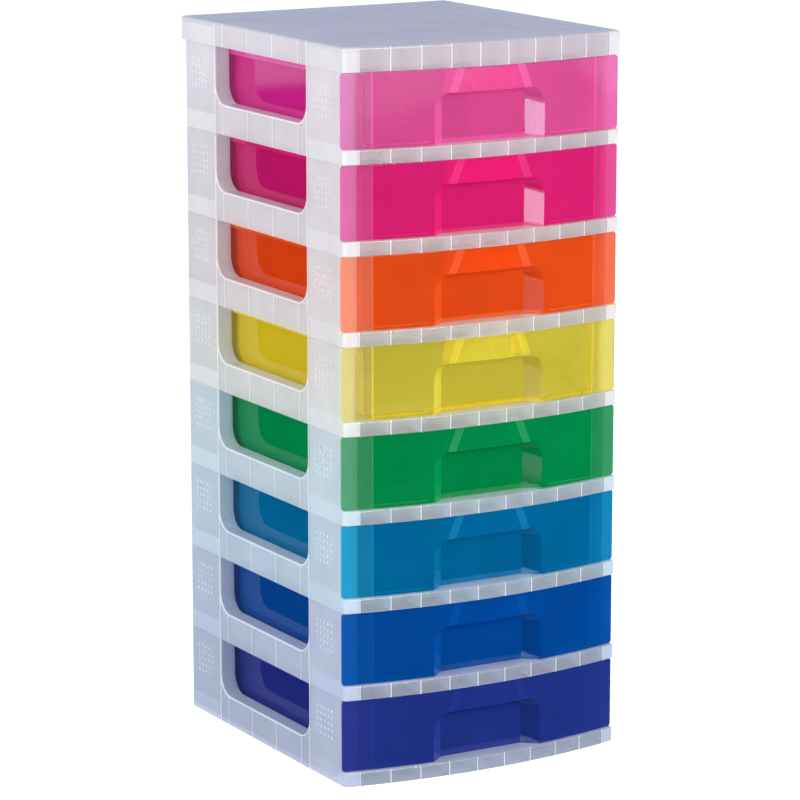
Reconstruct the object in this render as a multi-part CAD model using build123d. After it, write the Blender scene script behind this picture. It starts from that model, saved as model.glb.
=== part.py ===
from build123d import *
import os
from math import sqrt

os.makedirs("parts", exist_ok=True)

# A free-standing tower of stacked drawer modules under one lid. Lengths are in mm.
# +Z is up, the bowed front faces -Y, and the origin is on the floor under the middle
# of the tower's overall box, which takes in the bow and the lid's rear overhang.

# Tower
levels = 8
level_pitch = 107.0        # underside of one deck to the underside of the next
width = 382.0
side_depth = 401.0         # front corner to the back of a frame
bow = 22.5                 # how far the middle of the front stands out from its corners
corner_radius = 6.0        # upright outer corners
skin = 2.0                 # wall of a frame
seam_gap = 0.2             # daylight between one frame and what stands on it
seam_height = 1.0          # shadow groove under each joint
seam_depth = 0.8

# Ribbed deck of a frame
deck_height = 17.0
deck_edge_radius = 1.5
band_depth = 38.0          # outer bowed wall to the second bowed wall
band_cells = 9
rib_thickness = 1.6

# Hollow side walls
side_wall = 20.0           # outside of the outer skin to the face that the drawer passes
column_setback = 8.5       # front of a column behind the front corner
column_edge_radius = 3.0
front_column = 88.0        # front corner to the window
rear_column = 82.0         # window to the back
window_sill = 37.0         # above the underside of the deck
window_radius = 24.0
window_edge_radius = 1.0   # along the window's rims, inside and outside
sill_cells = 3
sill_rib_offset = 20.0     # outermost ribs from the ends of the window

# Stacking spigots on the columns
spigot_height = 22.5       # above the joint
spigot_clearance = 0.4
spigot_wall = 1.6

# Raised dots on the columns
dot_count = 5              # each way
dot_pitch_y = 8.9
dot_pitch_z = 8.2
dot_height_above_base = 70.0
dot_diameter = 2.8
dot_relief = 0.5

# Lid
lid_height = 28.6
lid_thickness = 2.5
lid_overhang = 11.5        # behind the frames
lid_edge_radius = 2.5

# Drawer front
front_setback = 5.5        # behind the front of the deck
front_thickness = 2.5
front_side_gap = 0.5
front_top_gap = 1.4
front_corner_radius = 4.0
front_edge_radius = 0.8
drawer_clearance = 0.3     # runners above the deck

# Drawer tub
tub_gap = 8.0              # tub wall to the side wall's inner skin
tub_wall = 2.0
tub_lift = 3.2             # underside of the floor above the runners' feet
tub_rear_gap = 20.0        # tub to the back wall
tub_top_drop = 1.1         # rim below the top of the front
tub_edge_radius = 9.0      # along the floor
tub_corner_radius = 18.0   # upright rear corners
rim_gap = 1.5              # rim flange to the inner skin
rim_thickness = 2.0
rim_lip = 8.5
rim_rear_width = 5.0
runner_width = 4.0
runner_inset = 22.0        # runner behind the tub's side

# Finger pocket
pocket_half_width = 80.0   # at the drawer's front face
pocket_back_half_width = 57.0
pocket_height = 60.0       # above the bottom of the front
pocket_depth = 19.0
pocket_radius = 23.0
pocket_back_radius = 15.0
pocket_lead = 0.5          # start of the splay in front of the drawer's front
grip_front_half_width = 46.0   # hollow behind the front, above the arch
grip_rear_half_width = 53.0
grip_draft = 5.0           # how much each side closes in towards the top

# Worked out from the sizes above
half_width = width / 2
front_apex = -(side_depth + bow + lid_overhang) / 2
front_corner = front_apex + bow
back = front_corner + side_depth
inner_face = half_width - side_wall
cavity_inside = inner_face + skin
cavity_outside = half_width - skin
column_front = front_corner + column_setback
window_front = front_corner + front_column
window_rear = back - rear_column
frame_top = level_pitch - seam_gap
bow_radius = (half_width**2 + bow**2) / (2 * bow)
bow_centre = front_apex + bow_radius
drawer_bottom = deck_height + drawer_clearance
drawer_top = level_pitch - front_top_gap
floor_bottom = drawer_bottom + tub_lift
tub_top = drawer_top - tub_top_drop
tub_half_width = inner_face - tub_gap
tub_back = back - skin - tub_rear_gap
tub_front_inset = front_setback + front_thickness
pocket_back = front_apex + front_setback + pocket_depth
pocket_top = drawer_bottom + pocket_height
overlap = 5.0              # how far a cutting shape reaches past what it cuts


def block(x, y, z):
    # A box between two limits on each axis
    size = [high - low for low, high in (x, y, z)]
    middle = [(high + low) / 2 for low, high in (x, y, z)]
    return Pos(*middle) * Box(*size)


def both_sides(shape):
    return shape + mirror(shape, about=Plane.YZ)


def bowed_y(x, inset):
    # The front arc, at a distance inset behind the outermost face
    return bow_centre - sqrt((bow_radius - inset) ** 2 - x**2)


def bowed_area(half, inset, rear, radius=0.0):
    # Plan outline with a bowed front and a straight back
    corner = bowed_y(half, inset)
    front = ThreePointArc((-half, corner), (0, bowed_y(0, inset)), (half, corner))
    rest = Polyline((half, corner), (half, rear), (-half, rear), (-half, corner))
    area = make_face(front + rest)
    if radius:
        area = fillet(area.vertices(), radius)
    return area


def prism(area, low, high):
    return extrude(Pos(0, 0, low) * area, high - low)


def side_prism(area, inside, outside):
    # Extrudes an outline drawn in Y and Z from one X to another
    return extrude(Plane.YZ.offset(inside) * area, outside - inside)


def deck_cells(height):
    # Hollows under a deck: the row of front cells, the two corner cells and the middle
    strip = bowed_area(inner_face, skin, back) - bowed_area(inner_face, band_depth, back)
    pitch = (2 * inner_face + skin) / band_cells
    for step in range(1, band_cells):
        rib_x = -inner_face - skin / 2 + step * pitch
        strip -= Pos(rib_x, front_corner) * Rectangle(rib_thickness, side_depth)
    corners = bowed_area(cavity_outside, skin, column_front)
    corners -= Pos(0, front_corner) * Rectangle(2 * cavity_inside, side_depth)
    middle = bowed_area(inner_face, band_depth + skin, back - skin)
    return prism(strip, 0, height) + prism(corners, 0, height) + prism(middle, 0, height)


def column_cells(height):
    # Hollows of the front and rear columns, closed at the top
    front = (column_front + skin, window_front - skin)
    rear = (window_rear + skin, back - skin)
    span = (cavity_inside, cavity_outside)
    cells = block(span, front, (0, height)) + block(span, rear, (0, height))
    return both_sides(cells)


def sill_hollows(height, under_window):
    # Hollows between the columns, parted by upright ribs
    middle = Pos((window_front + window_rear) / 2, height / 2)
    area = middle * Rectangle(window_rear - window_front, height)
    if under_window:
        area -= window_outline(skin)
    first = window_front + sill_rib_offset
    pitch = (window_rear - sill_rib_offset - first) / sill_cells
    for step in range(sill_cells + 1):
        area -= Pos(first + step * pitch, height / 2) * Rectangle(rib_thickness, 2 * height)
    return both_sides(side_prism(area, cavity_inside, cavity_outside))


def window_outline(margin=0.0):
    # U shape, open at the top, seen from the side; the margin makes it larger all round
    low = window_sill - margin
    high = level_pitch + overlap
    outline = Rectangle(window_rear - window_front + 2 * margin, high - low)
    outline = fillet(outline.vertices().sort_by(Axis.Y)[:2], window_radius + margin)
    return Pos((window_front + window_rear) / 2, (low + high) / 2) * outline


def spigots():
    # Hollow collars that locate the next frame, or the lid, on the four columns
    def collar(front, rear):
        x = (cavity_inside + spigot_clearance, cavity_outside - spigot_clearance)
        y = (front + skin + spigot_clearance, rear - skin - spigot_clearance)
        z = (frame_top - skin, level_pitch + spigot_height)
        inside = [(low + spigot_wall, high - spigot_wall) for low, high in (x, y)]
        return block(x, y, z) - block(*inside, (z[0] - overlap, z[1] - spigot_wall))

    return both_sides(collar(column_front, window_front) + collar(window_rear, back))


def dots():
    # Square patches of low raised dots, centred on the columns
    patches = []
    depth = skin / 2 + dot_relief
    for middle in ((column_front + window_front) / 2, (window_rear + back) / 2):
        for column in range(dot_count):
            for row in range(dot_count):
                y = middle + (column - (dot_count - 1) / 2) * dot_pitch_y
                z = dot_height_above_base + (row - (dot_count - 1) / 2) * dot_pitch_z
                disc = Pos(0, 0, depth / 2) * Cylinder(dot_diameter / 2, depth)
                for side in (-1, 1):
                    start = side * (half_width - skin / 2)
                    patches.append(Pos(start, y, z) * Rot(0, side * 90, 0) * disc)
    return patches


def front_outer_edge(side):
    return side.edges().filter_by(Axis.Z).group_by(Axis.Y)[0].sort_by(Axis.X)[-1]


def window_rims(side):
    # The window's edges on the two faces of a side wall
    edges = side.edges().filter_by_position(Axis.Y, window_front, window_rear)
    edges = edges.filter_by_position(Axis.Z, window_sill, frame_top)
    return edges.group_by(Axis.X)[0] + edges.group_by(Axis.X)[-1]


def frame():
    # One level's shell: deck, two hollow side walls, back wall and spigots
    outline = bowed_area(half_width, 0, back, corner_radius)
    deck = prism(outline, 0, deck_height)
    deck = fillet(deck.edges().group_by(Axis.Z)[-1], deck_edge_radius)
    side = block((inner_face, half_width), (column_front, back), (0, frame_top))
    side = fillet(front_outer_edge(side), column_edge_radius)
    side -= side_prism(window_outline(), inner_face - overlap, half_width + overlap)
    side = both_sides(fillet(window_rims(side), window_edge_radius))
    rear = block((-inner_face, inner_face), (back - skin, back), (0, frame_top))
    shell = deck + ((side + rear) & prism(outline, 0, frame_top))

    kept = [size - seam_depth for size in (half_width, back, corner_radius)]
    groove = outline - bowed_area(kept[0], seam_depth, *kept[1:])
    shell -= prism(groove, frame_top - seam_height, frame_top)

    shell -= deck_cells(deck_height - skin)
    shell -= column_cells(frame_top - skin)
    shell -= sill_hollows(window_sill + window_radius, under_window=True)
    shell += spigots()
    shell -= spigot_throats()
    return shell + dots()


def spigot_throats():
    # Opens each column into the spigot above it
    inset = spigot_clearance + spigot_wall
    x = (cavity_inside + inset, cavity_outside - inset)
    front = (column_front + skin + inset, window_front - skin - inset)
    rear = (window_rear + skin + inset, back - skin - inset)
    z = (frame_top - skin - overlap, level_pitch + spigot_height - spigot_wall)
    return both_sides(block(x, front, z) + block(x, rear, z))


def lid():
    # Top cover: the deck's outline and ribs, one overhang longer at the back
    base = levels * level_pitch
    body = prism(bowed_area(half_width, 0, back + lid_overhang, corner_radius), 0, lid_height)
    body = fillet(body.edges().group_by(Axis.Z)[-1], lid_edge_radius)
    depth = lid_height - lid_thickness
    body -= deck_cells(depth) + column_cells(depth) + sill_hollows(depth, under_window=False)
    body -= block((-cavity_outside, cavity_outside), (back, back + lid_overhang - skin), (0, depth))
    return Pos(0, 0, base) * body


def drawer_front():
    # Bowed plate with rounded corners
    half = half_width + overlap
    plate = bowed_area(half, front_setback, back) - bowed_area(half, tub_front_inset, back)
    sizes = (2 * (half_width - front_side_gap), drawer_top - drawer_bottom)
    elevation = RectangleRounded(*sizes, front_corner_radius)
    middle = (drawer_top + drawer_bottom) / 2
    window = extrude(Plane.XZ.offset(-front_corner) * Pos(0, middle) * elevation, 2 * bow, both=True)
    plate = prism(plate, drawer_bottom, drawer_top) & window
    return fillet(plate.faces().sort_by(Axis.Y)[0].edges(), front_edge_radius)


def tub():
    # Open box behind the front, with rounded floor edges and rear corners
    def hollow(margin, front_inset, low, high):
        area = bowed_area(tub_half_width - margin, front_inset, tub_back - margin)
        shape = prism(area, low, high)
        rear = shape.edges().filter_by(Axis.Z).sort_by(Axis.Y)[-2:]
        shape = fillet(rear, tub_corner_radius - margin)
        floor = shape.faces().sort_by(Axis.Z)[0].edges()
        floor = [edge for edge in floor if edge.center().Y > front_corner]
        return fillet(floor, tub_edge_radius - margin)

    outside = hollow(0, tub_front_inset - front_thickness / 2, floor_bottom, tub_top)
    inside = hollow(tub_wall, tub_front_inset, floor_bottom + tub_wall, tub_top + tub_edge_radius)
    return outside - inside


def rim():
    # Flange round the sides and back of the tub, with a turned-down lip
    outer = inner_face - rim_gap
    rear = tub_back + rim_rear_width
    area = bowed_area(outer, tub_front_inset - front_thickness / 2, rear)
    opening = bowed_area(tub_half_width - tub_wall / 2, tub_front_inset, tub_back - tub_wall / 2)
    lip = area - bowed_area(outer - rim_thickness, tub_front_inset, rear - rim_thickness)
    opening = fillet(opening.vertices().sort_by(Axis.Y)[-2:], tub_corner_radius - tub_wall / 2)
    flange = prism(area - opening, tub_top - rim_thickness, tub_top)
    return flange + prism(lip, tub_top - rim_lip, tub_top)


def runners():
    # Two long feet under the floor
    outside = tub_half_width - runner_inset
    front = bowed_y(outside, tub_front_inset - front_thickness / 2)
    z = (drawer_bottom, floor_bottom + tub_wall / 2)
    return both_sides(block((outside - runner_width, outside), (front, tub_back - tub_corner_radius), z))


def arch(half, top, radius):
    # Arched outline of the finger pocket, seen from the front, open below
    low = drawer_bottom - overlap
    outline = Rectangle(2 * half, top - low)
    outline = fillet(outline.vertices().sort_by(Axis.Y)[-2:], radius)
    return Pos(0, (top + low) / 2) * outline


def pocket(margin):
    # Splayed recess below the arch; a margin gives the outside of its wall
    front_y = front_apex + front_setback - pocket_lead
    front = arch(pocket_half_width + margin, pocket_top + margin, pocket_radius + margin)
    rear = arch(pocket_back_half_width + margin, pocket_top + margin, pocket_back_radius + margin)
    sections = [Plane.XZ.offset(-front_y) * front, Plane.XZ.offset(-pocket_back - margin) * rear]
    return loft(sections)


def grip(margin):
    # Hollow above the arch, behind the front, that the fingers hook into
    top = tub_top - rim_thickness + margin
    bottom = pocket_top - overlap
    front_y = front_apex
    rear_y = pocket_back + margin
    draft = grip_draft / (top - pocket_top)
    sections = []
    for z in (bottom, top):
        close = draft * (z - pocket_top)
        front = grip_front_half_width + margin - close
        rear = grip_rear_half_width + margin - close
        corners = [(-front, front_y), (front, front_y), (rear, rear_y), (-rear, rear_y)]
        sections.append(Pos(0, 0, z) * make_face(Polyline(*corners, close=True)))
    return loft(sections)


def drawer():
    # Front, tub, rim, runners and finger pocket in one moulding
    behind_front = prism(bowed_area(half_width, front_setback, back), drawer_bottom, tub_top)
    behind_plate = prism(bowed_area(half_width, tub_front_inset, back), 0, level_pitch)
    walls = (pocket(tub_wall) + grip(tub_wall)) & behind_front
    body = drawer_front() + tub() + rim() + runners() + walls
    return body - pocket(0) - (grip(0) & behind_plate)


def write(shape, node):
    shape.label = node
    export_step(shape, f"parts/{node}.step")


frame_shape = frame()
drawer_shape = drawer()
for level in range(levels):
    lift = Pos(0, 0, level * level_pitch)
    write(lift * frame_shape, f"frame_{level + 1}")
    write(lift * drawer_shape, f"drawer_{level + 1}")
write(lid(), "lid")
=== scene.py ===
import math

import bpy
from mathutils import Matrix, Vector

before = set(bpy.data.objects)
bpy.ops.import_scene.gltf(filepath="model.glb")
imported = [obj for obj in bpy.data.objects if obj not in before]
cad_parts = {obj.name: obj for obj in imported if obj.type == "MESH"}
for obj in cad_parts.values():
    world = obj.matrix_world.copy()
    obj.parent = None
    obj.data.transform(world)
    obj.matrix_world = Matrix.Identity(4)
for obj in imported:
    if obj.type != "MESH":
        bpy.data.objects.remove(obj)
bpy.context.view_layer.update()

bpy.ops.object.select_all(action="DESELECT")
print("frame loaded:", len(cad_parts), "mouldings")

# Milky-clear polypropylene, injection moulded: a thin haze that lets neighbours show through,
# whiter where a wall is seen along its length, with the soft gloss of a polished mould
frameLook = {
    "thick": "FFFFFF",       # ribs, rims and dots, which hold more plastic
    "filter": "F5F8FB",      # what passes through the wall
    "haze": 0.50,            # share of each surface that scatters, seen straight on
    "thinHaze": 0.26,        # where open cells lie behind the skin, in part on sills and reveals
    "thickHaze": 0.86,
    "doubleHaze": 0.56,      # where a spigot stands inside the column
    "edgeHaze": 0.35,        # added where a wall is seen along its length
    "passing": 0.35,         # share of the scattered light that goes on inwards
    "roughness": 0.14,
}

# What each clear moulding scatters, with a faint painted tint for the coloured light from the drawer
# inside it
clearColoursWithPaintedTint = {
    "lid": ("plain", "F8F5F3"),
    "frame_8": ("pink", "FDFAF8"),
    "frame_7": ("magenta", "FDFAF8"),
    "frame_6": ("orange", "FDF9F7"),
    "frame_5": ("yellow", "FCFBF7"),
    "frame_4": ("green", "F1FAFB"),
    "frame_3": ("cyan", "EAF7FB"),
    "frame_2": ("blue", "E7EEF9"),
    "frame_1": ("indigo", "E4EAF7"),
}

# Coloured translucent polypropylene of the drawers: clearer fronts on hazier tubs, glossier than
# the frames
drawerLook = {
    "haze": 0.50,
    "thickHaze": 0.54,       # edges of the tub behind the front, and the rim's lip
    "doubleHaze": 0.90,      # walls of the grip hollow
    "edgeHaze": 0.60,
    "passing": 0.28,
    "roughness": 0.05,
}

# For each drawer: its name, the colours that front, tub, thick edges and the grip's walls scatter,
# the colour that passes, the paler colour painted at the ends of the front for the lit frame behind, and
# the haze of the front
drawerColours = {
    "drawer_8": ("pink", "FF78C0", "DC2898", "FF6CC4", "FFA8DC", "FFC4EA", "E6B8DC", 0.32),
    "drawer_7": ("magenta", "FA3094", "D42078", "FA3494", "FF78BC", "FFBCE2", "E89ACC", 0.40),
    "drawer_6": ("orange", "FF6A24", "EC5218", "FF7830", "FFA074", "FFCCAE", "FFC0A4", 0.42),
    "drawer_5": ("yellow", "FFFA60", "E8D22C", "FFE41C", "FFE820", "FCF6D4", "F8F4C0", 0.26),
    "drawer_4": ("green", "00B868", "00A45E", "26B65C", "78D098", "98D4B8", "84D0A4", 0.40),
    "drawer_3": ("cyan", "0092C8", "0082B4", "0092D0", "44B4E8", "78C2E2", "40D8F4", 0.40),
    "drawer_2": ("blue", "0268C4", "0A58AC", "0A66C0", "1468C4", "68A0DC", "1C80D4", 0.44),
    "drawer_1": ("indigo", "344EB4", "303C9C", "344AB0", "344AB0", "6A7CCA", "4854B8", 0.44),
}

# Where the plastic is thicker or double, in millimetres as on the parts
level, deck, sill = 107.0, 17.0, 37.0
mould = {
    "lidBottom": 8 * level,
    "frontReach": -150.0,        # deck cells lie in front of this
    "firstFrontRib": -172.0,
    "frontRibPitch": 38.222,
    "firstSideRib": -87.0,
    "sideRibPitch": 63.667,
    "windowMiddle": 8.5,
    "windowHalf": 115.5,
    "windowRadius": 24.0,
    "wallMiddle": 1.0,           # middle of the wall round a window, behind its face
    "column": 172.0,             # just past a side wall's inner face
    "spigot": 22.5,
    "partShare": 0.4,            # of the thin look, on sills, reveals and rear columns
    "skinFrom": 188.8,           # the outer skin of a side wall lies beyond this
    "rimFrom": 189.8,            # a window's edge from here outwards shows as a pale rim
    "dotsFrom": 191.05,          # just past the outer face
    "bowCentre": 604.4,
    "skinRadius": 819.7,         # the front skin of a deck lies beyond this from the bow's centre
    "plateRadius": 813.8,        # a drawer's front lies beyond this from the bow's centre
    "tubSide": 153.0,            # line on the front, 10 mm inside the tub's side
    "tubFloor": 21.5,
    "paintedStripShare": 0.35,          # the ends' painted paleness from that line to the column, for the lit frame behind
    "lipBottom": 96.0,           # lip of the drawer's rim, from here up and outwards
    "lipFrom": 166.0,
    "lipShare": 0.6,             # as pale as that share of a thick edge
    "pocketHalf": 84.0,
    "pocketBack": -190.5,
    "pocketTop": 77.5,
    "gripSide": 48.5,            # walls of the hollow behind the top of the front
    "gripReach": 8.5,
    "gripLean": 0.4,             # those walls close in towards the top by that share of the height
    "seamSide": 52.0,            # where they meet the front, which is paler there
    "seamReach": 5.5,
    "seamShare": 0.24,
    "paintedRightShare": 0.4,           # the right end is painted less pale than the left, as painted light from the side lamp
    "rib": 0.65,                 # half of a rib's thickness
    "wall": 1.1,                 # half of a wall's, with a little over
}

# Masks as steps of arithmetic on the place: result, operation, values or earlier results
frameSteps = [
    ("side", "ABSOLUTE", "x"),
    ("height", "FLOORED_MODULO", "z", level),
    ("onLid", "GREATER_THAN", "z", mould["lidBottom"]),
    ("offLid", "SUBTRACT", 1.0, "onLid"),
    ("inDeck", "LESS_THAN", "height", deck),
    ("inDeck", "MAXIMUM", "inDeck", "onLid"),
    ("atFront", "LESS_THAN", "y", mould["frontReach"]),
    ("inside", "LESS_THAN", "side", mould["column"]),
    ("atFront", "MULTIPLY", "atFront", "inside"),
    ("frontCells", "MULTIPLY", "inDeck", "atFront"),
    ("back", "SUBTRACT", "y", mould["bowCentre"]),
    ("back", "MULTIPLY", "back", "back"),
    ("across", "MULTIPLY", "x", "x"),
    ("reach", "ADD", "back", "across"),
    ("reach", "SQRT", "reach"),
    ("onSkin", "GREATER_THAN", "reach", mould["skinRadius"]),
    ("frontCells", "MULTIPLY", "frontCells", "onSkin"),
    ("fromRib", "SUBTRACT", "x", mould["firstFrontRib"]),
    ("fromRib", "PINGPONG", "fromRib", mould["frontRibPitch"] / 2),
    ("frontRibs", "COMPARE", "fromRib", 0.0, mould["rib"]),
    ("frontRibs", "MULTIPLY", "frontRibs", "frontCells"),
    ("along", "SUBTRACT", "y", mould["windowMiddle"]),
    ("along", "ABSOLUTE", "along"),
    ("atSide", "GREATER_THAN", "side", mould["column"]),
    ("inSill", "LESS_THAN", "height", sill),
    ("inSill", "MAXIMUM", "inSill", "onLid"),
    ("between", "LESS_THAN", "along", mould["windowHalf"]),
    ("sideCells", "MULTIPLY", "inSill", "between"),
    ("onSkin", "GREATER_THAN", "side", mould["skinFrom"]),
    ("sideCells", "MULTIPLY", "sideCells", "onSkin"),
    ("fromRib", "SUBTRACT", "y", mould["firstSideRib"]),
    ("fromRib", "PINGPONG", "fromRib", mould["sideRibPitch"] / 2),
    ("sideRibs", "COMPARE", "fromRib", 0.0, mould["rib"]),
    ("sideRibs", "MULTIPLY", "sideRibs", "sideCells"),
    ("columnWall", "COMPARE", "along", mould["windowHalf"] + mould["wallMiddle"], mould["wall"]),
    ("across", "SUBTRACT", "along", mould["windowHalf"] - mould["windowRadius"]),
    ("across", "MAXIMUM", "across", 0.0),
    ("across", "MULTIPLY", "across", "across"),
    ("below", "SUBTRACT", sill + mould["windowRadius"], "height"),
    ("below", "MAXIMUM", "below", 0.0),
    ("below", "MULTIPLY", "below", "below"),
    ("reach", "ADD", "across", "below"),
    ("reach", "SQRT", "reach"),
    ("windowWall", "COMPARE", "reach", mould["windowRadius"] + mould["wallMiddle"], mould["wall"]),
    ("windowWall", "MULTIPLY", "windowWall", "offLid"),
    ("sideWalls", "MAXIMUM", "columnWall", "windowWall"),
    ("reveal", "MULTIPLY", "sideWalls", "atSide"),
    ("rim", "GREATER_THAN", "side", mould["rimFrom"]),
    ("sideWalls", "MULTIPLY", "sideWalls", "rim"),
    ("dots", "GREATER_THAN", "side", mould["dotsFrom"]),
    ("double", "LESS_THAN", "height", mould["spigot"]),
    ("beyond", "SUBTRACT", 1.0, "between"),
    ("double", "MULTIPLY", "double", "beyond"),
    ("double", "MULTIPLY", "double", "atSide"),
    ("thick", "MAXIMUM", "frontRibs", "sideRibs"),
    ("thick", "MAXIMUM", "thick", "sideWalls"),
    ("thick", "MAXIMUM", "thick", "dots"),
    ("atRear", "GREATER_THAN", "y", mould["windowHalf"]),
    ("atRear", "MULTIPLY", "atRear", "atSide"),
    ("partly", "MAXIMUM", "sideCells", "reveal"),
    ("partly", "MAXIMUM", "partly", "atRear"),
    ("partly", "MULTIPLY", "partly", mould["partShare"]),
    ("thin", "MAXIMUM", "frontCells", "partly"),
]
drawerSteps = [
    ("side", "ABSOLUTE", "x"),
    ("height", "FLOORED_MODULO", "z", level),
    ("back", "SUBTRACT", "y", mould["bowCentre"]),
    ("back", "MULTIPLY", "back", "back"),
    ("across", "MULTIPLY", "x", "x"),
    ("reach", "ADD", "back", "across"),
    ("reach", "SQRT", "reach"),
    ("plate", "GREATER_THAN", "reach", mould["plateRadius"]),
    ("beside", "GREATER_THAN", "side", mould["pocketHalf"]),
    ("pocket", "LESS_THAN", "side", mould["pocketHalf"]),
    ("ahead", "LESS_THAN", "y", mould["pocketBack"]),
    ("pocket", "MULTIPLY", "pocket", "ahead"),
    ("thin", "MAXIMUM", "plate", "pocket"),
    # painted paleness at the ends of the front, standing in for the lit frame column seen behind it
    ("paintedPaleEnds", "GREATER_THAN", "side", mould["column"]),
    ("strip", "GREATER_THAN", "side", mould["tubSide"]),
    ("strip", "MULTIPLY", "strip", mould["paintedStripShare"]),
    ("paintedPaleEnds", "MAXIMUM", "paintedPaleEnds", "strip"),
    ("paintedPaleEnds", "MULTIPLY", "paintedPaleEnds", "plate"),
    # painted side light: the right end keeps only a share of that painted paleness
    ("onLeft", "LESS_THAN", "x", 0.0),
    ("lit", "MULTIPLY_ADD", "onLeft", 1.0 - mould["paintedRightShare"], mould["paintedRightShare"]),
    ("paintedPaleEnds", "MULTIPLY", "paintedPaleEnds", "lit"),
    ("sides", "COMPARE", "side", mould["tubSide"], mould["wall"]),
    ("floor", "COMPARE", "height", mould["tubFloor"], mould["wall"]),
    ("inside", "LESS_THAN", "side", mould["tubSide"]),
    ("floor", "MULTIPLY", "floor", "inside"),
    ("floor", "MULTIPLY", "floor", "beside"),
    ("thick", "MAXIMUM", "sides", "floor"),
    ("thick", "MULTIPLY", "thick", "plate"),
    ("lip", "GREATER_THAN", "height", mould["lipBottom"]),
    ("outer", "GREATER_THAN", "side", mould["lipFrom"]),
    ("lip", "MULTIPLY", "lip", "outer"),
    ("lip", "SUBTRACT", "lip", "plate"),
    ("lip", "MULTIPLY", "lip", mould["lipShare"]),
    ("thick", "MAXIMUM", "thick", "lip"),
    ("double", "COMPARE", "side", mould["gripSide"], mould["gripReach"]),
    ("above", "GREATER_THAN", "height", mould["pocketTop"]),
    ("behind", "SUBTRACT", "pocket", "plate"),
    ("double", "MULTIPLY", "double", "above"),
    ("double", "MULTIPLY", "double", "behind"),
    ("lean", "SUBTRACT", "height", mould["pocketTop"]),
    ("lean", "MULTIPLY_ADD", "lean", mould["gripLean"], "side"),
    ("seam", "COMPARE", "lean", mould["seamSide"], mould["seamReach"]),
    ("seam", "MULTIPLY", "seam", "above"),
    ("seam", "MULTIPLY", "seam", "plate"),
    ("seam", "MULTIPLY", "seam", mould["seamShare"]),
    ("double", "MAXIMUM", "double", "seam"),
    ("below", "LESS_THAN", "height", mould["tubFloor"] + mould["wall"]),
    ("below", "MULTIPLY", "below", "behind"),
    ("thick", "MAXIMUM", "thick", "below"),
]

# Moulded surface, in millimetres
surface = {
    "waveSize": 9.0,             # faint ripple of a thin moulded wall
    "waveDepth": 0.012,
    "flowSize": 60.0,            # clouds left where the melt flowed
    "flowRange": (0.3, 0.7),     # the noise between these values makes the clouds
    "flowShare": 0.07,           # how much they change the haze
    "edgeBlend": 0.5,            # how the haze grows towards a wall seen along its length
    "edgePower": 2.0,
    "ior": 1.49,
}


def toLinear(hexColour):
    # sRGB hex to linear RGBA
    values = [int(hexColour[i:i + 2], 16) / 255 for i in (0, 2, 4)]
    linear = [v / 12.92 if v <= 0.04045 else ((v + 0.055) / 1.055) ** 2.4 for v in values]
    return (*linear, 1.0)


def addNode(tree, kind, settings=None, links=None):
    # A node with its properties, socket values and incoming links
    node = tree.nodes.new(kind)
    for name, value in (settings or {}).items():
        if isinstance(name, int) or name in node.inputs:
            node.inputs[name].default_value = value
        else:
            setattr(node, name, value)
    for name, source in (links or {}).items():
        tree.links.new(source, node.inputs[name])
    return node


def newTree(owner):
    # The emptied node tree of a material or a world
    owner.use_nodes = True
    owner.node_tree.nodes.clear()
    return owner.node_tree


def addMasks(tree, millimetres, steps):
    # Works through the steps and gives every result by its name
    axes = addNode(tree, "ShaderNodeSeparateXYZ", None, {0: millimetres}).outputs
    masks = {"x": axes["X"], "y": axes["Y"], "z": axes["Z"]}
    for result, operation, *values in steps:
        numbers = {i: v for i, v in enumerate(values) if isinstance(v, float)}
        links = {i: masks[v] for i, v in enumerate(values) if isinstance(v, str)}
        settings = {"operation": operation, **numbers}
        masks[result] = addNode(tree, "ShaderNodeMath", settings, links).outputs[0]
    return masks


def addHaze(tree, look, masks, millimetres):
    # Share that scatters, from the zone, the angle and the flow of the melt
    zone = addNode(tree, "ShaderNodeMix", {2: look["haze"], 3: look["thinHaze"]},
                   {0: masks["thin"]}).outputs[0]
    zone = addNode(tree, "ShaderNodeMix", {3: look["doubleHaze"]},
                   {0: masks["double"], 2: zone}).outputs[0]
    zone = addNode(tree, "ShaderNodeMix", {3: look["thickHaze"]},
                   {0: masks["thick"], 2: zone}).outputs[0]
    facing = addNode(tree, "ShaderNodeLayerWeight", {"Blend": surface["edgeBlend"]}).outputs["Facing"]
    edge = addNode(tree, "ShaderNodeMath", {"operation": "POWER", 1: surface["edgePower"]},
                   {0: facing}).outputs[0]
    haze = addNode(tree, "ShaderNodeMath", {"operation": "MULTIPLY_ADD", 1: look["edgeHaze"]},
                   {0: edge, 2: zone}).outputs[0]
    flow = addNode(tree, "ShaderNodeTexNoise", {"Scale": 1 / surface["flowSize"], "Detail": 2.0},
                   {"Vector": millimetres})
    low, high = surface["flowRange"]
    share = surface["flowShare"]
    cloud = addNode(tree, "ShaderNodeMapRange",
                    {"From Min": low, "From Max": high, "To Min": 1 - share, "To Max": 1 + share},
                    {"Value": flow.outputs["Fac"]}).outputs[0]
    return addNode(tree, "ShaderNodeMath", {"operation": "MULTIPLY", "use_clamp": True},
                   {0: haze, 1: cloud}).outputs[0]


def addColour(tree, look, masks):
    # Scattered colour from the zone, each one over those before it
    colour = addNode(tree, "ShaderNodeMix",
                     {"data_type": "RGBA", 6: toLinear(look["body"]), 7: toLinear(look["thin"])},
                     {0: masks["thin"]}).outputs[2]
    # on a drawer the last zone is the painted paleness at the ends of the front, for the lit frame
    # behind
    for zone in ("double", "thick", "paintedPaleEnds"):
        if zone in masks:
            colour = addNode(tree, "ShaderNodeMix", {"data_type": "RGBA", 7: toLinear(look[zone])},
                             {0: masks[zone], 6: colour}).outputs[2]
    return colour


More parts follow.
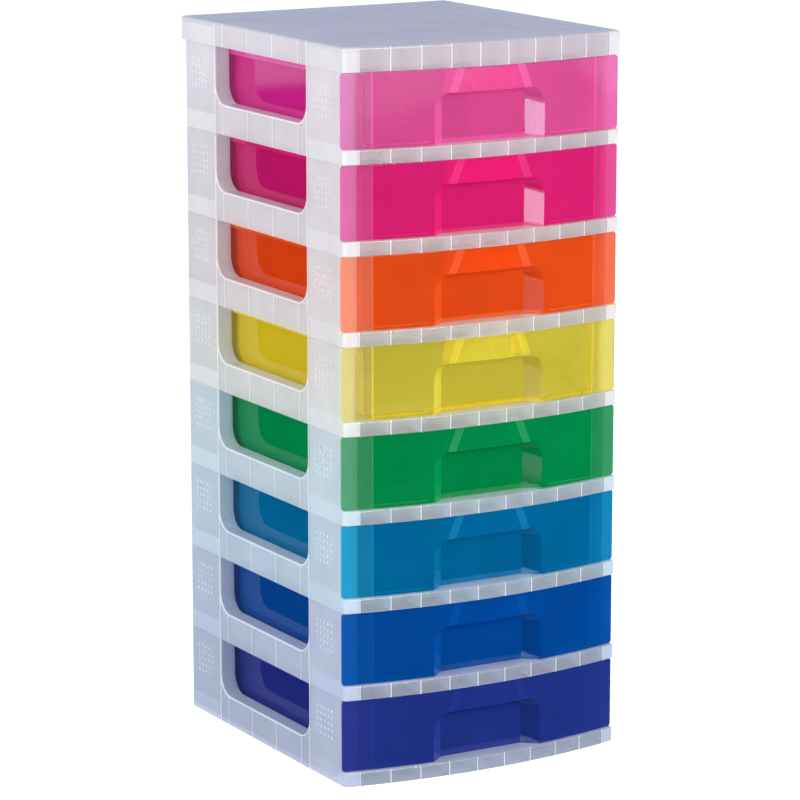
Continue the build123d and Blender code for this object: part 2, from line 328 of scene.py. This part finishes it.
def makePolypropylene(name, look, steps):
    # Thin wall of hazy plastic: light is scattered, passed on with a tint, or mirrored
    material = bpy.data.materials.new(name)
    tree = newTree(material)
    place = addNode(tree, "ShaderNodeTexCoord").outputs["Object"]
    millimetres = addNode(tree, "ShaderNodeVectorMath", {"operation": "SCALE", "Scale": 1000.0},
                          {0: place}).outputs[0]
    masks = addMasks(tree, millimetres, steps)
    waves = addNode(tree, "ShaderNodeTexNoise", {"Scale": 1 / surface["waveSize"], "Detail": 1.0},
                    {"Vector": millimetres})
    bump = addNode(tree, "ShaderNodeBump", {"Strength": 1.0, "Distance": surface["waveDepth"] / 1000},
                   {"Height": waves.outputs["Fac"]}).outputs["Normal"]
    haze = addHaze(tree, look, masks, millimetres)
    colour = addColour(tree, look, masks)

    clear = addNode(tree, "ShaderNodeBsdfTransparent", {"Color": toLinear(look["filter"])})
    diffuse = addNode(tree, "ShaderNodeBsdfDiffuse", None, {"Color": colour, "Normal": bump})
    passing = addNode(tree, "ShaderNodeBsdfTranslucent", None, {"Color": colour})
    scatter = addNode(tree, "ShaderNodeMixShader", {"Fac": look["passing"]},
                      {1: diffuse.outputs[0], 2: passing.outputs[0]})
    wall = addNode(tree, "ShaderNodeMixShader", None,
                   {"Fac": haze, 1: clear.outputs[0], 2: scatter.outputs[0]})

    # Gloss on the side where light comes in
    gloss = addNode(tree, "ShaderNodeBsdfGlossy", {"Roughness": look["roughness"]}, {"Normal": bump})
    fresnel = addNode(tree, "ShaderNodeFresnel", {"IOR": surface["ior"]}, {"Normal": bump})
    inside = addNode(tree, "ShaderNodeNewGeometry").outputs["Backfacing"]
    outside = addNode(tree, "ShaderNodeMath", {"operation": "SUBTRACT", 0: 1.0}, {1: inside})
    mirrored = addNode(tree, "ShaderNodeMath", {"operation": "MULTIPLY"},
                       {0: fresnel.outputs[0], 1: outside.outputs[0]})
    final = addNode(tree, "ShaderNodeMixShader", None,
                    {"Fac": mirrored.outputs[0], 1: wall.outputs[0], 2: gloss.outputs[0]})
    addNode(tree, "ShaderNodeOutputMaterial", None, {"Surface": final.outputs[0]})
    return material


for name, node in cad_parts.items():
    if name in clearColoursWithPaintedTint:
        colour, body = clearColoursWithPaintedTint[name]
        # the body colour carries the painted tint of the drawer's coloured light
        look = {**frameLook, "body": body, "thin": body, "double": body}
        title = f"milky injection-moulded polypropylene, {colour} inside"
        material = makePolypropylene(title, look, frameSteps)
    else:
        colour, front, tub, edge, grip, filterColour, paintedPaleEnds, frontHaze = drawerColours[name]
        look = {**drawerLook, "body": tub, "thin": front, "thick": edge, "double": grip,
                "paintedPaleEnds": paintedPaleEnds, "filter": filterColour, "thinHaze": frontHaze}
        title = f"{colour} injection-moulded polypropylene"
        material = makePolypropylene(title, look, drawerSteps)
    for slot in node.material_slots:
        slot.material = material
print("materials assigned")


# Matt pale studio floor, in metres
floorLook = {
    "size": 60.0,
    "drop": 0.0005,          # below the tower's underside
    "colour": "CCCED4",
    "glowColour": "FFFFFF",
    "glow": 0.75,            # added only where a ray from the camera or a gloss looks at it
}


def makeFloor():
    bpy.ops.mesh.primitive_plane_add(size=floorLook["size"], location=(0, 0, -floorLook["drop"]))
    floor = bpy.context.object
    floor.name = "floor"
    material = bpy.data.materials.new("pale studio floor")
    tree = newTree(material)
    path = addNode(tree, "ShaderNodeLightPath").outputs
    seen = addNode(tree, "ShaderNodeMath", {"operation": "ADD"},
                   {0: path["Is Camera Ray"], 1: path["Is Glossy Ray"]})
    seen = addNode(tree, "ShaderNodeMath", {"operation": "ADD", "use_clamp": True},
                   {0: seen.outputs[0], 1: path["Is Transmission Ray"]})
    # Behind a milky wall it's the lit floor that shows, with the shadow under the tower, so the glow
    # is only for a ray that has passed no wall yet
    direct = addNode(tree, "ShaderNodeMath", {"operation": "LESS_THAN", 1: 0.5},
                     {0: path["Transparent Depth"]})
    seen = addNode(tree, "ShaderNodeMath", {"operation": "MULTIPLY"},
                   {0: seen.outputs[0], 1: direct.outputs[0]})
    pale = addNode(tree, "ShaderNodeBsdfDiffuse", {"Color": toLinear(floorLook["colour"])})
    glow = addNode(tree, "ShaderNodeEmission",
                   {"Color": toLinear(floorLook["glowColour"]), "Strength": floorLook["glow"]})
    lit = addNode(tree, "ShaderNodeAddShader", None, {0: pale.outputs[0], 1: glow.outputs[0]})
    final = addNode(tree, "ShaderNodeMixShader", None,
                    {"Fac": seen.outputs[0], 1: pale.outputs[0], 2: lit.outputs[0]})
    addNode(tree, "ShaderNodeOutputMaterial", None, {"Surface": final.outputs[0]})
    floor.data.materials.append(material)


# Black velvet on the floor that only the gloss sees, so that the colours stay deep
flagLook = {
    "colour": "101010",
    "drop": 0.0003,          # metres below the tower's underside, and above the floor
    "frontFlag": (6.0, 2.7, -3.2),       # size and middle in metres
    "rearFlag": (6.0, -3.2, 2.85),
    "cornerFlag": (1.0, -0.8, -0.7),
}


def makeFlags():
    material = bpy.data.materials.new("black velvet")
    tree = newTree(material)
    velvet = addNode(tree, "ShaderNodeBsdfDiffuse", {"Color": toLinear(flagLook["colour"])})
    addNode(tree, "ShaderNodeOutputMaterial", None, {"Surface": velvet.outputs[0]})
    for name in ("frontFlag", "rearFlag", "cornerFlag"):
        size, x, y = flagLook[name]
        bpy.ops.mesh.primitive_plane_add(size=size, location=(x, y, -flagLook["drop"]))
        flag = bpy.context.object
        flag.name = name
        flag.data.materials.append(material)
        flag.visible_camera = False
        flag.visible_diffuse = False
        flag.visible_shadow = False
        flag.visible_transmission = False


# Place, target, width and height in metres, power in watts, and colour
lamps = {
    "front": ((0.5, -3.6, 1.5), (0, 0, 0.6), (1.6, 1.6), 100.0, "FFFFFF"),
    "side": ((-3.6, 0.2, 1.6), (0, 0, 0.6), (1.6, 1.6), 76.0, "FFFFFF"),
    "strip": ((-2.75, -2.3, 1.05), (0, 0, 1.05), (1.2, 2.0), 85.0, "D8E8FF"),
}


def makeLamps():
    for name, (place, target, size, power, colour) in lamps.items():
        bpy.ops.object.light_add(type="AREA", location=place)
        lamp = bpy.context.object
        lamp.name = name
        lamp.data.shape = "RECTANGLE"
        lamp.data.size, lamp.data.size_y = size
        lamp.data.energy = power
        lamp.data.color = toLinear(colour)[:3]
        lamp.rotation_mode = "QUATERNION"
        lamp.rotation_quaternion = (Vector(target) - Vector(place)).to_track_quat("-Z", "Y")
        lamp.visible_diffuse = name != "strip"    # the strip is only a highlight on the gloss


# White below the horizon, and above it a plain tint that turns cool towards one direction
skyLook = {
    "plain": "E0E0DE",       # from the front and the sides
    "cool": "A0B4E4",        # from above and behind
    "coolFrom": (0.25, 0.75, 0.50),      # a direction's dot product with this is its cool share
    "strength": 0.90,
    "below": "FFFFFF",
    "horizon": (0.02, 0.08),     # all white under the first height of a direction, none over the second
}


def makeSky():
    world = bpy.data.worlds.new("studio")
    tree = newTree(world)
    direction = addNode(tree, "ShaderNodeTexCoord").outputs["Generated"]
    share = addNode(tree, "ShaderNodeVectorMath",
                    {"operation": "DOT_PRODUCT", 1: skyLook["coolFrom"]},
                    {0: direction}).outputs["Value"]
    tint = addNode(tree, "ShaderNodeMix",
                   {"data_type": "RGBA", 6: toLinear(skyLook["plain"]), 7: toLinear(skyLook["cool"])},
                   {0: share}).outputs[2]
    sky = addNode(tree, "ShaderNodeBackground", {"Strength": skyLook["strength"]}, {"Color": tint})
    white = addNode(tree, "ShaderNodeBackground", {"Color": toLinear(skyLook["below"]), "Strength": 1.0})
    height = addNode(tree, "ShaderNodeSeparateXYZ", None, {0: direction}).outputs["Z"]
    low, high = skyLook["horizon"]
    above = addNode(tree, "ShaderNodeMapRange", {"From Min": low, "From Max": high}, {"Value": height})
    both = addNode(tree, "ShaderNodeMixShader", None,
                   {"Fac": above.outputs[0], 1: white.outputs[0], 2: sky.outputs[0]})
    addNode(tree, "ShaderNodeOutputWorld", None, {"Surface": both.outputs[0]})
    bpy.context.scene.world = world


# The photograph's angle, in metres, degrees and millimetres
cameraLook = {
    "place": (-2.2445, -3.8685, 1.3636),
    "azimuth": -30.103,
    "elevation": 11.948,
    "lens": 165.82,
    "clip": (0.1, 100.0),
}


def makeCamera():
    azimuth = math.radians(cameraLook["azimuth"])
    elevation = math.radians(cameraLook["elevation"])
    flat = math.cos(elevation)
    back = Vector((math.sin(azimuth) * flat, -math.cos(azimuth) * flat, math.sin(elevation)))
    bpy.ops.object.camera_add(location=cameraLook["place"])
    camera = bpy.context.object
    camera.name = "camera"
    camera.data.lens = cameraLook["lens"]
    camera.data.clip_start, camera.data.clip_end = cameraLook["clip"]
    camera.rotation_mode = "QUATERNION"
    camera.rotation_quaternion = (-back).to_track_quat("-Z", "Y")
    bpy.context.scene.camera = camera


makeFloor()
makeFlags()
makeLamps()
makeSky()
makeCamera()
scene = bpy.context.scene
scene.view_settings.view_transform = "Standard"
scene.cycles.transparent_max_bounces = 64    # a sight line crosses many clear walls
scene.cycles.diffuse_bounces = 6             # and light wanders between hazy ones
print("studio and camera placed")
